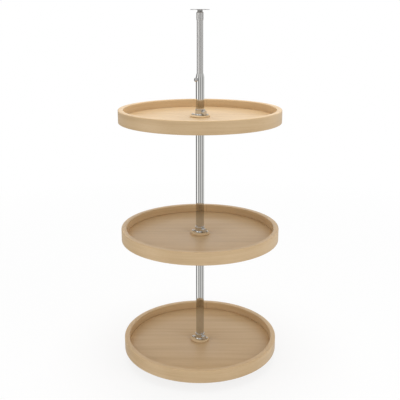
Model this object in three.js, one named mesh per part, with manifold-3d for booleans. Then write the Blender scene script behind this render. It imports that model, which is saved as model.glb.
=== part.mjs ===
// A rotating pantry unit: three round wooden trays clamped on a chrome post that turns between a plate
// on the cabinet's floor and a plate under its ceiling. A thinner post slides out of the first one, so
// that the unit fits cabinets of several heights. Millimetres, +Z up, origin on the cabinet's floor at
// the post's axis, front of the unit towards -Y.

import * as THREE from "three";
import { mergeVertices } from "three/addons/utils/BufferGeometryUtils.js";
import Module from "manifold-3d";

const wasm = await Module();
wasm.setup();

// ---- Driving dimensions -------------------------------------------------------------------------

const fit = 0.3; // gap between pieces that touch or slide on each other
const edgeRadius = 1; // rounded edges of turned and pressed pieces
const overlap = 0.5; // how far solids run into each other where they are joined
const past = 1; // how far a cutting tool runs beyond the faces it cuts

// trays
const trayNames = ["bottom", "middle", "top"];
const trayDiameter = 609.6;
const traySpacing = 457.2;
const trayClearance = 38; // cabinet floor to the lowest tray's underside
const rimHeight = 48;
const rimThickness = 20;
const rimTopRadius = 3.5;
const rimFootChamfer = 1.5;
const boardThickness = 12.7;
const boardSetUp = 4.3; // underside of the board above the underside of the rim
const grooveDepth = 8; // how far the board reaches into the rim

// the disc under each hub
const discDiameter = 74;
const discThickness = 6;
const discEdgeRadius = 2.5;

// hub collars
const hubHeight = 22; // above the disc
const hubWall = 1.6;
const hubBead = 0.6; // how far the rolled lip stands proud of the collar
const hubBeadHeight = 4.4;
const hubBeadRadius = 1.4;
const footWidth = 1.8; // the flared foot beyond the collar
const footHeight = 5;
const footEdge = 1; // the foot's upright edge
const footRadius = 3; // where the flare meets the collar
const rollWidth = 1.6; // the lower end, turned outwards under the backing plate
const rollHeight = 1.5;
const bossDiameter = 15;
const bossReach = 5; // from the collar's face
const bossHeight = 10.6; // the clamp screw's axis above the foot's underside
const clampAngle = -50; // degrees from +X

// screws and nuts
const tipChamfer = 0.6;
const hexChamfer = 1; // round the top of a hexagon head
const panRounding = 0.7; // the rounded share of a pan head's height
const deepestSink = 0.8; // a sunk head's share of its plate's thickness
const clampScrewDiameter = 10;
const clampHeadAcross = 17;
const clampHeadThickness = 6.4;
const discScrewDiameter = 6;
const discHeadDiameter = 12;
const discHeadHeight = 4.6;
const discScrewOffset = 27;
const discScrewAngle = 165; // degrees from +X
const nutAcross = 10;
const nutThickness = 5;
const threadEnd = 1.5; // what a screw shows beyond its nut
const backingDiameter = 78;
const backingThickness = 2;

// lower post
const postDiameter = 31.75;
const postWall = 1.5;
const postAboveTopTray = 129; // the post's end above the top tray's rim
const neckLength = 13;
const neckShoulderRadius = 4;
const neckEdge = 1; // the wall at the post's mouth
const neckEdgeRadius = 0.5;
const neckMouthDepth = 2; // the narrow bore at the post's mouth

// lock screw and its threaded insert
const lockDrop = 22.2; // from the post's end down to the screw's axis
const lockAngle = 215; // degrees from +X
const lockScrewDiameter = 8;
const lockHeadAcross = 13;
const lockHeadThickness = 5.3;
const insertFlangeDiameter = 14;
const insertFlangeThickness = 1.2;
const insertSaddle = 2; // how far the flange reaches down round the tube
const insertSleeveDiameter = 10.4;
const insertDepth = 3; // the sleeve's reach inwards of the post's outer face

// upper post
const upperDiameter = 23.8;
const upperWall = 1.5;
const upperReach = 218.9; // the length that shows above the lower post, with its cup
const upperOverlap = 226; // the length inside the lower post
const tubeEdgeRadius = 0.5;
const guideLength = 45; // the sleeve's reach up the tube
const guideFloor = 2.7; // the sleeve's rim under the tube's end

// cup over the upper end
const cupDiameter = 26.4;
const cupLength = 30.5;
const cupTaper = 10;
const cupEdge = 0.4; // the wall at both edges
const cupShoulder = 3;
const cupShoulderRadius = 2.4;

// top bearing and plate
const topPinDiameter = 10;
const topPinReach = 28;
const topRivetDiameter = 6;
const topRivetHead = 9.4;
const topRivetSunk = 0.1; // the flush head below the plate's upper face
const topPinTipRadius = 1.5;
const topBushingNeck = 19;
const topBushingNeckHeight = 6;
const topBushingLength = 20;
const topBushingFlange = 3;
const topPlateDiameter = 70;
const topPlateThickness = 2;
const topScrewCircle = 50;

// floor plate and bearing
const floorPlateDiameter = 92;
const floorPlateThickness = 2.5;
const domeRise = 5;
const domeTopRadius = 15.5;
const domeFootRadius = 21;
const domeInset = 1; // the slope's inner face inwards of its outer one
const floorScrewCircle = 68;
const mountScrewDiameter = 4.5;
const mountScrewHead = 9;
const mountScrewCount = 4;
const firstMountScrew = 45; // degrees from +X
const pivotPinDiameter = 12;
const pivotPinReach = 24; // above the post's lower end
const pivotRivetDiameter = 8;
const pivotRivetHead = 13;
const pivotRivetHeadHeight = 2.8;
const pivotPinTipRadius = 2;
const washerDiameter = 28;
const washerThickness = 3;
const footFlangeThickness = 3;
const footBushingLength = 30;

// facets round a circle
const traySides = 40;
const postSides = 24;
const hubSides = 20;
const bearingSides = 16;
const screwSides = 10;
const hexSides = 6;

// facets round a rounded corner
const seenSteps = 2;
const hiddenSteps = 1;

// ---- Sizes and levels that follow -----------------------------------------------------------------

const trayRadius = trayDiameter / 2;
const boardRadius = trayRadius - rimThickness + grooveDepth - fit;
const boardTop = boardSetUp + boardThickness; // above the rim's underside
const postRadius = postDiameter / 2;
const postBore = postRadius - postWall;
const upperRadius = upperDiameter / 2;
const hubBore = postRadius + fit;
const hubRadius = hubBore + hubWall;
const hubHole = hubRadius + fit;

const domeTop = floorPlateThickness + domeRise;
const washerBottom = domeTop + fit;
const footFlangeBottom = washerBottom + washerThickness + fit;
const footFlangeTop = footFlangeBottom + footFlangeThickness;
const postBottom = footFlangeTop + fit;

const topTrayBase = trayClearance + (trayNames.length - 1) * traySpacing;
const postTop = topTrayBase + rimHeight + postAboveTopTray;
const lockHeight = postTop - lockDrop;
const upperBottom = postTop - upperOverlap;
const upperTop = postTop + upperReach;
const cupWall = cupDiameter / 2 - upperRadius - fit;
const bushingSeat = upperTop - cupShoulder - cupWall / 2 - fit; // upper face of the bushing's flange
const tubeTop = bushingSeat - topBushingFlange - fit;
const bushingTop = upperTop + topBushingNeckHeight;
const topPlateBottom = bushingTop + fit;
const unitHeight = topPlateBottom + topPlateThickness; // cabinet floor to ceiling

// ---- Shapes -----------------------------------------------------------------------------------------

const radians = (degrees) => (degrees * Math.PI) / 180;

// The points of a circle, as a flat outline or hole.
function circle(radius, sides, x = 0, y = 0) {
  const points = [];
  for (let i = 0; i < sides; i++) {
    const angle = (2 * Math.PI * i) / sides;
    points.push(new THREE.Vector2(x + radius * Math.cos(angle), y + radius * Math.sin(angle)));
  }
  return points;
}

// An arc about (x, y) from one angle to another, both in radians, ends included.
function arc(x, y, radius, from, to, steps) {
  const points = [];
  for (let i = 0; i <= steps; i++) {
    const angle = from + ((to - from) * i) / steps;
    points.push(new THREE.Vector2(x + radius * Math.cos(angle), y + radius * Math.sin(angle)));
  }
  return points;
}

// An outline through corners [x, y, radius], where a corner with a radius is rounded in a few steps.
function rounded(corners, steps) {
  return corners.flatMap(([x, y, radius = 0], i) => {
    const corner = new THREE.Vector2(x, y);
    if (!radius) return [corner];
    const [beforeX, beforeY] = corners.at(i - 1);
    const [afterX, afterY] = corners[(i + 1) % corners.length];
    const toBefore = new THREE.Vector2(beforeX, beforeY).sub(corner).normalize();
    const toAfter = new THREE.Vector2(afterX, afterY).sub(corner).normalize();
    const half = Math.acos(toBefore.dot(toAfter)) / 2;
    const middle = toBefore.clone().add(toAfter).normalize();
    const centre = corner.clone().addScaledVector(middle, radius / Math.sin(half));
    const start = corner.clone().addScaledVector(toBefore, radius / Math.tan(half)).sub(centre);
    const end = corner.clone().addScaledVector(toAfter, radius / Math.tan(half)).sub(centre);
    const turn = Math.atan2(start.cross(end), start.dot(end));
    return arc(centre.x, centre.y, radius, start.angle(), start.angle() + turn, steps);
  });
}

// A profile of [radius, z] points turned about the Z axis. It closes on itself, or on the axis.
function turned(points, sides) {
  const profile = THREE.ShapeUtils.area(points) < 0 ? points.slice().reverse() : points.slice();
  const onAxis = profile.filter((point) => point.x === 0).length > 0;
  if (onAxis) {
    while (profile[0].x !== 0 || profile.at(-1).x !== 0) profile.push(profile.shift());
  } else {
    profile.push(profile[0].clone());
  }
  return new THREE.LatheGeometry(profile, sides).rotateX(Math.PI / 2);
}

// A flat plate of an outline with holes, its lower face at z = 0.
function plate(outline, holes, thickness) {
  const shape = new THREE.Shape(outline);
  shape.holes = holes.map((hole) => new THREE.Path(hole));
  return new THREE.ExtrudeGeometry(shape, { depth: thickness, bevelEnabled: false });
}

// A rod along +Z from z = from to z = to.
function rod(radius, from, to, sides) {
  return plate(circle(radius, sides), [], to - from).translate(0, 0, from);
}

function toSolid(geometry) {
  const bare = geometry.clone();
  bare.deleteAttribute("normal");
  bare.deleteAttribute("uv");
  const merged = mergeVertices(bare, 1e-4);
  return new wasm.Manifold(
    new wasm.Mesh({
      numProp: 3,
      vertProperties: merged.attributes.position.array,
      triVerts: new Uint32Array(merged.index.array),
    }),
  );
}

function toGeometry(solid) {
  const mesh = solid.getMesh();
  const indexed = new THREE.BufferGeometry();
  indexed.setAttribute("position", new THREE.BufferAttribute(mesh.vertProperties, 3));
  indexed.setIndex(new THREE.BufferAttribute(mesh.triVerts, 1));
  const geometry = indexed.toNonIndexed();
  geometry.computeVertexNormals();
  return geometry;
}

const join = (...parts) => toGeometry(parts.map(toSolid).reduce((sum, part) => sum.add(part)));
const cut = (body, ...tools) =>
  toGeometry(tools.map(toSolid).reduce((rest, tool) => rest.subtract(tool), toSolid(body)));
const common = (a, b) => toGeometry(toSolid(a).intersect(toSolid(b)));

// Turns a shape made along +Z so that it lies along a level direction, at a height.
function pointing(geometry, degrees, height) {
  return geometry.rotateY(Math.PI / 2).rotateZ(radians(degrees)).translate(0, 0, height);
}

// Where something stands that lies at a distance from the axis in a direction.
function around(distance, degrees) {
  return [distance * Math.cos(radians(degrees)), distance * Math.sin(radians(degrees))];
}

// A hexagon's radius to its corners, from its width across the flats.
const hexCorner = (across) => across / 2 / Math.cos(Math.PI / hexSides);

// ---- Finishes ---------------------------------------------------------------------------------------

const finishes = {
  mapleSide: { color: 0xc9ac84, roughness: 0.42, metalness: 0 },
  mapleFace: { color: 0xdcbf94, roughness: 0.4, metalness: 0 },
  tanDisc: { color: 0xc79d66, roughness: 0.5, metalness: 0 },
  chrome: { color: 0xd6d6d8, roughness: 0.12, metalness: 1 },
  satinNickel: { color: 0xb9b8b4, roughness: 0.32, metalness: 1 },
  zincSteel: { color: 0xb4b6b8, roughness: 0.38, metalness: 1 },
  whiteAcetal: { color: 0xe9e7e1, roughness: 0.5, metalness: 0 },
  greyNylon: { color: 0x6f6e6a, roughness: 0.55, metalness: 0 },
};

function piece(parent, name, geometry, finish) {
  const mesh = new THREE.Mesh(geometry, new THREE.MeshStandardMaterial(finishes[finish]));
  mesh.name = name;
  parent.add(mesh);
  return mesh;
}

// ---- Screws and nuts ----------------------------------------------------------------------------------

// A hexagon bolt standing on its tip at z = 0, its head's underside at z = shank.
function hexScrew(diameter, shank, across, head) {
  const outside = hexCorner(across) + overlap;
  const crownTop = across / 2 - hexChamfer;
  const crownFoot = shank + head - (outside - crownTop) / 2;
  const hexagon = rod(hexCorner(across), shank, shank + head, hexSides);
  const crown = turned(
    [
      new THREE.Vector2(0, shank - overlap),
      new THREE.Vector2(outside, shank - overlap),
      new THREE.Vector2(outside, crownFoot),
      new THREE.Vector2(crownTop, shank + head),
      new THREE.Vector2(0, shank + head),
    ],
    hubSides,
  );
  const stem = turned(
    [
      new THREE.Vector2(0, 0),
      new THREE.Vector2(diameter / 2 - tipChamfer, 0),
      new THREE.Vector2(diameter / 2, tipChamfer),
      new THREE.Vector2(diameter / 2, shank + overlap),
      new THREE.Vector2(0, shank + overlap),
    ],
    screwSides,
  );
  return join(common(hexagon, crown), stem);
}

// A pan-head screw with its head's underside at z = 0 and its tip below.
function panScrew(diameter, length, headWidth, headHeight) {
  const corners = [
    [0, headHeight],
    [0, -length],
    [diameter / 2 - tipChamfer, -length],
    [diameter / 2, -length + tipChamfer],
    [diameter / 2, 0],
    [headWidth / 2, 0],
    [headWidth / 2, headHeight, panRounding * headHeight],
  ];
  return turned(rounded(corners, seenSteps), screwSides);
}

// The tool that sinks a flat-head screw's hole down through a plate whose upper face is at z = top.
function countersink(diameter, headWidth, top, thickness) {
  const sunk = Math.min((headWidth - diameter) / 2, deepestSink * thickness);
  return turned(
    [
      new THREE.Vector2(0, top - thickness - past),
      new THREE.Vector2(diameter / 2, top - thickness - past),
      new THREE.Vector2(diameter / 2, top - sunk),
      new THREE.Vector2(headWidth / 2, top),
      new THREE.Vector2(headWidth / 2, top + past),
      new THREE.Vector2(0, top + past),
    ],
    screwSides,
  );
}

// ---- Floor plate and bottom bearing --------------------------------------------------------------------

// A pressed disc whose raised middle leaves room beneath for the pin's riveted end.
function floorPlate() {
  const holeRadius = pivotRivetDiameter / 2 + fit;
  const corners = [
    [holeRadius, domeTop],
    [holeRadius, domeTop - floorPlateThickness],
    [domeTopRadius - domeInset, domeTop - floorPlateThickness],
    [domeFootRadius - domeInset, 0],
    [floorPlateDiameter / 2, 0],
    [floorPlateDiameter / 2, floorPlateThickness, edgeRadius],
    [domeFootRadius, floorPlateThickness],
    [domeTopRadius, domeTop],
  ];
  const tools = [];
  for (let i = 0; i < mountScrewCount; i++) {
    const [x, y] = around(floorScrewCircle / 2, firstMountScrew + (360 * i) / mountScrewCount);
    const tool = countersink(mountScrewDiameter, mountScrewHead, floorPlateThickness, floorPlateThickness);
    tools.push(tool.translate(x, y, 0));
  }
  return cut(turned(rounded(corners, hiddenSteps), postSides), ...tools);
}

// The pin: a riveted end under the plate, a shank through it and the journal above.
function pivotPin() {
  const underside = domeTop - floorPlateThickness - fit;
  const journal = pivotPinDiameter / 2;
  const top = postBottom + pivotPinReach;
  const corners = [
    [0, top],
    [0, underside - pivotRivetHeadHeight],
    [pivotRivetHead / 2, underside - pivotRivetHeadHeight, edgeRadius],
    [pivotRivetHead / 2, underside],
    [pivotRivetDiameter / 2, underside],
    [pivotRivetDiameter / 2, domeTop + fit],
    [journal, domeTop + fit],
    [journal, top, pivotPinTipRadius],
  ];
  return turned(rounded(corners, hiddenSteps), bearingSides);
}

function thrustWasher() {
  const hole = circle(pivotPinDiameter / 2 + fit, bearingSides);
  const ring = plate(circle(washerDiameter / 2, bearingSides), [hole], washerThickness);
  return ring.translate(0, 0, washerBottom);
}

// A flanged bush in the lower end of the post, which turns on the pin and rides on the washer.
function footBushing() {
  const bore = pivotPinDiameter / 2 + fit;
  const plug = postBore - fit;
  const corners = [
    [bore, footFlangeBottom],
    [postRadius, footFlangeBottom, edgeRadius],
    [postRadius, footFlangeTop],
    [plug, footFlangeTop],
    [plug, footFlangeTop + footBushingLength, edgeRadius],
    [bore, footFlangeTop + footBushingLength],
  ];
  return turned(rounded(corners, hiddenSteps), postSides);
}

// ---- Lower post and its lock ----------------------------------------------------------------------------

// A tube whose upper end is necked in round the thinner post, with a hole for the threaded insert.
function lowerPost() {
  const neckBore = upperRadius + fit;
  const neckOutside = neckBore + neckEdge;
  const shoulder = postTop - neckLength;
  const corners = [
    [postBore, postBottom],
    [postRadius, postBottom],
    [postRadius, shoulder, neckShoulderRadius],
    [neckOutside, postTop, neckEdgeRadius],
    [neckBore, postTop],
    [neckBore, postTop - neckMouthDepth],
    [postBore, shoulder - postWall],
  ];
  const holeRadius = insertSleeveDiameter / 2 + fit;
  const hole = pointing(rod(holeRadius, 0, postDiameter, hubSides), lockAngle, lockHeight);
  return cut(turned(rounded(corners, seenSteps), postSides), hole);
}

// Distances from the post's axis along the lock screw.
const insertInner = postRadius - insertDepth;
const insertFace = postRadius + fit + insertFlangeThickness;

// A flanged threaded insert: its flange is hollowed to sit on the round tube.
function lockInsert() {
  const flange = rod(insertFlangeDiameter / 2, postRadius - insertSaddle, insertFace, hubSides);
  const sleeve = rod(insertSleeveDiameter / 2, insertInner, insertFace, screwSides);
  const bore = rod(lockScrewDiameter / 2 + fit, 0, postDiameter, screwSides);
  const tube = rod(postRadius + fit, -postDiameter, postDiameter, postSides);
  const saddle = cut(pointing(flange, lockAngle, 0), tube);
  const body = cut(join(saddle, pointing(sleeve, lockAngle, 0)), pointing(bore, lockAngle, 0));
  return body.translate(0, 0, lockHeight);
}

// The hexagon screw that stops the upper post: its tip lies against that post.
function lockScrew() {
  const tip = upperRadius + fit;
  const shank = insertFace + fit - tip;
  const screw = hexScrew(lockScrewDiameter, shank, lockHeadAcross, lockHeadThickness);
  return pointing(screw.translate(0, 0, tip), lockAngle, lockHeight);
}

// ---- Upper post, its guide and the top bearing ----------------------------------------------------------

function upperPost() {
  const bore = upperRadius - upperWall;
  const corners = [
    [bore, upperBottom],
    [upperRadius, upperBottom, tubeEdgeRadius],
    [upperRadius, tubeTop, tubeEdgeRadius],
    [bore, tubeTop],
  ];
  return turned(rounded(corners, hiddenSteps), postSides);
}

// A sleeve with a rim under the tube's end, which keeps the upper post central in the wider one.
function guideSleeve() {
  const bore = upperRadius - upperWall;
  const inner = upperRadius + fit;
  const outer = postBore - fit;
  const seat = upperBottom - fit;
  const corners = [
    [bore, seat - guideFloor],
    [outer, seat - guideFloor, edgeRadius],
    [outer, upperBottom + guideLength, edgeRadius],
    [inner, upperBottom + guideLength],
    [inner, seat],
    [bore, seat],
  ];
  return turned(rounded(corners, hiddenSteps), postSides);
}

// The drawn cup over the tube's upper end: its skirt narrows down to the tube, and its upper edge is
// turned in round the bushing's neck.
function headCup() {
  const inside = upperRadius + fit;
  const outside = cupDiameter / 2;
  const mouth = topBushingNeck / 2 + fit;
  const shoulder = upperTop - cupShoulder;
  const skirt = upperTop - cupLength;
  const corners = [
    [inside, skirt],
    [inside + cupEdge, skirt],
    [outside, skirt + cupTaper],
    [outside, shoulder, cupShoulderRadius],
    [mouth + cupEdge, upperTop],
    [mouth, upperTop],
    [mouth, upperTop - cupWall],
    [inside, shoulder - cupWall / 2],
  ];
  return turned(rounded(corners, seenSteps), postSides);
}

// The bush in the tube's upper end: the cup holds its flange down on the tube, and its neck stands
// out of the cup and carries the top plate.
function topBushing() {
  const bore = topPinDiameter / 2 + fit;
  const neck = topBushingNeck / 2;
  const stem = upperRadius - upperWall - fit;
  const corners = [
    [bore, upperTop - topBushingLength],
    [stem, upperTop - topBushingLength, edgeRadius],
    [stem, bushingSeat - topBushingFlange],
    [upperRadius, bushingSeat - topBushingFlange],
    [upperRadius, bushingSeat],
    [neck, upperTop - cupWall - 2 * fit],
    [neck, bushingTop, edgeRadius],
    [bore, bushingTop],
  ];
  return turned(rounded(corners, hiddenSteps), bearingSides);
}

// The pin riveted in the top plate, its flush head at the cabinet's ceiling.
function topPin() {
  const journal = topPinDiameter / 2;
  const shank = topRivetDiameter / 2;
  const flush = unitHeight - topRivetSunk;
  const corners = [
    [0, flush],
    [0, topPlateBottom - topPinReach],
    [journal, topPlateBottom - topPinReach, topPinTipRadius],
    [journal, topPlateBottom - fit],
    [shank, topPlateBottom - fit],
    [shank, topPlateBottom + fit],
    [topRivetHead / 2, flush],
  ];
  return turned(rounded(corners, hiddenSteps), bearingSides);
}

// A thin disc under the ceiling, with holes sunk from below for its screws.
function topPlate() {
  const tools = [];
  for (let i = 0; i < mountScrewCount; i++) {
    const [x, y] = around(topScrewCircle / 2, firstMountScrew + (360 * i) / mountScrewCount);
    const tool = countersink(mountScrewDiameter, mountScrewHead, topPlateThickness, topPlateThickness);
    tools.push(tool.rotateX(Math.PI).translate(x, y, topPlateThickness));
  }
  const seat = topRivetHead / 2 + fit;
  const hole = topRivetDiameter / 2 + fit;
  const rivetSeat = turned(
    [
      new THREE.Vector2(0, -past),
      new THREE.Vector2(hole, -past),
      new THREE.Vector2(hole, 0),
      new THREE.Vector2(seat, topPlateThickness),
      new THREE.Vector2(seat, topPlateThickness + past),
      new THREE.Vector2(0, topPlateThickness + past),
    ],
    bearingSides,
  );
  const disc = rod(topPlateDiameter / 2, 0, topPlateThickness, postSides);
  return cut(disc, rivetSeat, ...tools).translate(0, 0, topPlateBottom);
}

// ---- Trays: levels above the underside of the rim --------------------------------------------------------

const discBottom = boardTop + fit;
const discTop = discBottom + discThickness;
const hubBottom = discTop + fit;
const backingTop = boardSetUp - fit;
const backingBottom = backingTop - backingThickness;
const nutTop = backingBottom - fit;
const rollTop = backingBottom - fit;
const rollBottom = rollTop - rollHeight;
const hubTop = hubBottom + hubHeight;
const clampLevel = hubBottom + bossHeight;
const screwHoleRadius = discScrewDiameter / 2 + fit;
const screwAngles = [discScrewAngle, discScrewAngle + 180];

// The bent band: a rounded top edge and a groove inside that holds the floor board.
function trayRim() {
  const inside = trayRadius - rimThickness;
  const grooveEnd = inside + grooveDepth;
  const corners = [
    [inside, 0],
    [trayRadius - rimFootChamfer, 0],
    [trayRadius, rimFootChamfer],
    [trayRadius, rimHeight, rimTopRadius],
    [inside, rimHeight, rimTopRadius],
    [inside, boardTop + fit],
    [grooveEnd, boardTop + fit],
    [grooveEnd, boardSetUp - fit],
    [inside, boardSetUp - fit],
  ];
  return turned(rounded(corners, seenSteps), traySides);
}

// Where the two screws of the disc stand.
const screwPlaces = screwAngles.map((angle) => around(discScrewOffset, angle));

// Their holes, as holes of a flat plate.
function screwHoles() {
  return screwPlaces.map((place) => circle(screwHoleRadius, screwSides, ...place));
}

function trayFloor() {
  const hubOpening = circle(hubHole, postSides);
  return plate(circle(boardRadius, traySides), [hubOpening, ...screwHoles()], boardThickness);
}

// The round disc on the tray's floor, which carries the hub's foot.
function hubDisc() {
  const corners = [
    [hubHole, discBottom],
    [discDiameter / 2, discBottom],
    [discDiameter / 2, discTop, discEdgeRadius],
    [hubHole, discTop],
  ];
  const drills = screwPlaces.map((place) => {
    return rod(screwHoleRadius, discBottom - past, discTop + past, screwSides).translate(...place, 0);
  });
  return cut(turned(rounded(corners, seenSteps), postSides), ...drills);
}

// The chrome hub: a flared foot on the disc, a rolled lip and the boss of the clamp screw above it.
// Below, its tube goes down through disc and board and is turned outwards under the backing plate.
function hubCollar() {
  const inside = hubBore - overlap;
  const foot = hubRadius + footWidth;
  const roll = hubRadius + rollWidth;
  const corners = [
    [inside, rollBottom],
    [roll, rollBottom, edgeRadius],
    [roll, rollTop],
    [hubRadius, rollTop],
    [hubRadius, hubBottom],
    [foot, hubBottom],
    [foot, hubBottom + footEdge],
    [hubRadius, hubBottom + footHeight, footRadius],
    [hubRadius, hubTop - hubBeadHeight],
    [hubRadius + hubBead, hubTop - hubBeadHeight + hubBead],
    [hubRadius + hubBead, hubTop, hubBeadRadius],
    [inside, hubTop],
  ];
  const bossEnd = hubRadius + bossReach;
  const boss = rod(bossDiameter / 2, hubBore, bossEnd, bearingSides);
  const threadHole = rod(clampScrewDiameter / 2 + fit, 0, bossEnd + past, screwSides);
  return cut(
    join(turned(rounded(corners, seenSteps), hubSides), pointing(boss, clampAngle, clampLevel)),
    rod(hubBore, rollBottom - past, hubTop + past, hubSides),
    pointing(threadHole, clampAngle, clampLevel),
  );
}

// The screw that clamps the hub: its tip lies against the post.
function clampScrew() {
  const tip = hubBore;
  const shank = hubRadius + bossReach + fit - tip;
  const screw = hexScrew(clampScrewDiameter, shank, clampHeadAcross, clampHeadThickness);
  return pointing(screw.translate(0, 0, tip), clampAngle, clampLevel);
}

function backingPlate() {
  const bore = circle(hubHole, hubSides);
  return plate(circle(backingDiameter / 2, postSides), [bore, ...screwHoles()], backingThickness);
}

function nut() {
  const hole = circle(screwHoleRadius, screwSides);
  return plate(circle(hexCorner(nutAcross), hexSides), [hole], nutThickness);
}

function tray(name, base) {
  const group = new THREE.Group();
  group.position.z = base;
  const headSeat = discTop + fit;
  const screwLength = headSeat - (nutTop - nutThickness) + threadEnd;
  piece(group, `${name}_tray_rim`, trayRim(), "mapleSide");
  piece(group, `${name}_tray_floor`, trayFloor(), "mapleFace").position.z = boardSetUp;
  piece(group, `${name}_hub_disc`, hubDisc(), "tanDisc");
  piece(group, `${name}_hub_collar`, hubCollar(), "chrome");
  piece(group, `${name}_clamp_screw`, clampScrew(), "chrome");
  piece(group, `${name}_backing_plate`, backingPlate(), "zincSteel").position.z = backingBottom;
  ["left", "right"].forEach((side, i) => {
    const screw = panScrew(discScrewDiameter, screwLength, discHeadDiameter, discHeadHeight);
    const nutBottom = nutTop - nutThickness;
    piece(group, `${name}_disc_screw_${side}`, screw, "chrome").position.set(...screwPlaces[i], headSeat);
    piece(group, `${name}_nut_${side}`, nut(), "zincSteel").position.set(...screwPlaces[i], nutBottom);
  });
  return group;
}

// ---- The unit -----------------------------------------------------------------------------------------

const unit = new THREE.Group();
piece(unit, "floor_plate", floorPlate(), "zincSteel");
piece(unit, "pivot_pin", pivotPin(), "zincSteel");
piece(unit, "thrust_washer", thrustWasher(), "whiteAcetal");
piece(unit, "foot_bushing", footBushing(), "whiteAcetal");
piece(unit, "lower_post", lowerPost(), "chrome");
piece(unit, "lock_insert", lockInsert(), "zincSteel");
piece(unit, "lock_screw", lockScrew(), "zincSteel");
piece(unit, "guide_sleeve", guideSleeve(), "whiteAcetal");
piece(unit, "upper_post", upperPost(), "satinNickel");
piece(unit, "head_cup", headCup(), "satinNickel");
piece(unit, "top_bushing", topBushing(), "greyNylon");
piece(unit, "top_pin", topPin(), "zincSteel");
piece(unit, "top_plate", topPlate(), "zincSteel");
trayNames.forEach((name, i) => unit.add(tray(name, trayClearance + i * traySpacing)));

export default unit;
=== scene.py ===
# The looks of a rotating pantry unit: three round maple trays clamped on a chrome post that turns
# between a plate on the cabinet's floor and a plate under its ceiling. Meshes are in metres, in the
# frame of the solids; sizes are written in millimetres, as on a workshop drawing.

from math import acos, atan2, cos, pi, radians, sin, tan

import bmesh
import bpy
from mathutils import Matrix, Vector


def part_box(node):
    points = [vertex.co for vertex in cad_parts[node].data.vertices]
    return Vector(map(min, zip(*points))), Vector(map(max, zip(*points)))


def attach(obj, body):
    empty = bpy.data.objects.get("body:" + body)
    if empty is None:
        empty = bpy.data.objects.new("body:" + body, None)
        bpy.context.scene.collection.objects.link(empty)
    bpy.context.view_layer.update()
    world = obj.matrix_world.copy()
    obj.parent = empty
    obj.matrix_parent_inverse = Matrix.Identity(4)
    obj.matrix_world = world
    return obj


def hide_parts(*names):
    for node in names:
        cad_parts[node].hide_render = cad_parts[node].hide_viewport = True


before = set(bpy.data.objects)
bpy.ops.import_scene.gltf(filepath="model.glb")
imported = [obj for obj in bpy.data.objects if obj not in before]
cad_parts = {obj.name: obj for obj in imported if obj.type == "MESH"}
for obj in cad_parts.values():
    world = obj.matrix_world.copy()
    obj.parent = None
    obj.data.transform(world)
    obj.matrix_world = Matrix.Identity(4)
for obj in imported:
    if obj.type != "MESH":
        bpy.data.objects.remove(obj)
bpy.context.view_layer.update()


# ---- Camera ------------------------------------------------------------------------------------------
# It stands 2.4 m in front of the post and a third of a metre above the top tray, and looks down a
# little, so that each lower tray is seen more from above. The small shift frames the post's upper end.

camera_distance, camera_height, camera_tilt = 2.3856, 1.3235, 14.6

camera = bpy.data.objects.new("camera", bpy.data.cameras.new("camera"))
camera.data.sensor_width = 36
camera.data.lens = 57.735
camera.data.shift_y = -0.0354
camera.location = (0, -camera_distance, camera_height)
camera.rotation_euler = (radians(90 - camera_tilt), 0, 0)
bpy.context.scene.collection.objects.link(camera)
bpy.context.scene.camera = camera
bpy.context.scene.view_settings.view_transform = "Standard"


# ---- Studio ------------------------------------------------------------------------------------------
# A white sweep with a broad lamp overhead and softer ones at both sides. Polished metal shows what
# stands round it: grey boards on all sides, a white backdrop behind and a pale ceiling.


def add(tree, kind, sockets=None, **settings):
    """A shader node. Sockets are given by name or number: a socket is linked, a value is set."""
    node = tree.nodes.new(kind)
    for name, value in settings.items():
        setattr(node, name, value)
    for name, value in (sockets or {}).items():
        if isinstance(value, bpy.types.NodeSocket):
            tree.links.new(value, node.inputs[name])
        else:
            node.inputs[name].default_value = value
    return node


def grey(level):
    return (level, level, level, 1)


def ramp(tree, factor, stops):
    """A colour ramp through (place, grey or colour) stops."""
    node = add(tree, "ShaderNodeValToRGB", {"Fac": factor})
    elements = node.color_ramp.elements
    while len(elements) < len(stops):
        elements.new(0.5)
    for element, (place, colour) in zip(elements, stops):
        element.position = place
        element.color = (*colour, 1) if hasattr(colour, "__len__") else grey(colour)
    return node.outputs["Color"]


def calculated(tree, operation, *values):
    """The result of a Math node."""
    return add(tree, "ShaderNodeMath", dict(enumerate(values)), operation=operation).outputs[0]


def rescaled(tree, value, low, high, at_low=0.0, at_high=1.0):
    """A value between low and high, stretched to lie between at_low and at_high."""
    sockets = {0: value, 1: low, 2: high, 3: at_low, 4: at_high}
    return add(tree, "ShaderNodeMapRange", sockets).outputs[0]


def blended(tree, share, first, second):
    """A blend of two colours: the first at a share of 0, the second at 1."""
    sockets = {0: share, 6: first, 7: second}
    return add(tree, "ShaderNodeMix", sockets, data_type="RGBA").outputs[2]


world = bpy.data.worlds.new("studio")
bpy.context.scene.world = world
world.use_nodes = True
sky = world.node_tree
sky.nodes.clear()
direction = add(sky, "ShaderNodeSeparateXYZ", {0: add(sky, "ShaderNodeTexCoord").outputs["Generated"]})
upwards = direction.outputs["Z"]
forwards = calculated(sky, "MULTIPLY", direction.outputs["Y"], -1.0)
bearing = calculated(sky, "ARCTAN2", direction.outputs["X"], forwards)

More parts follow.
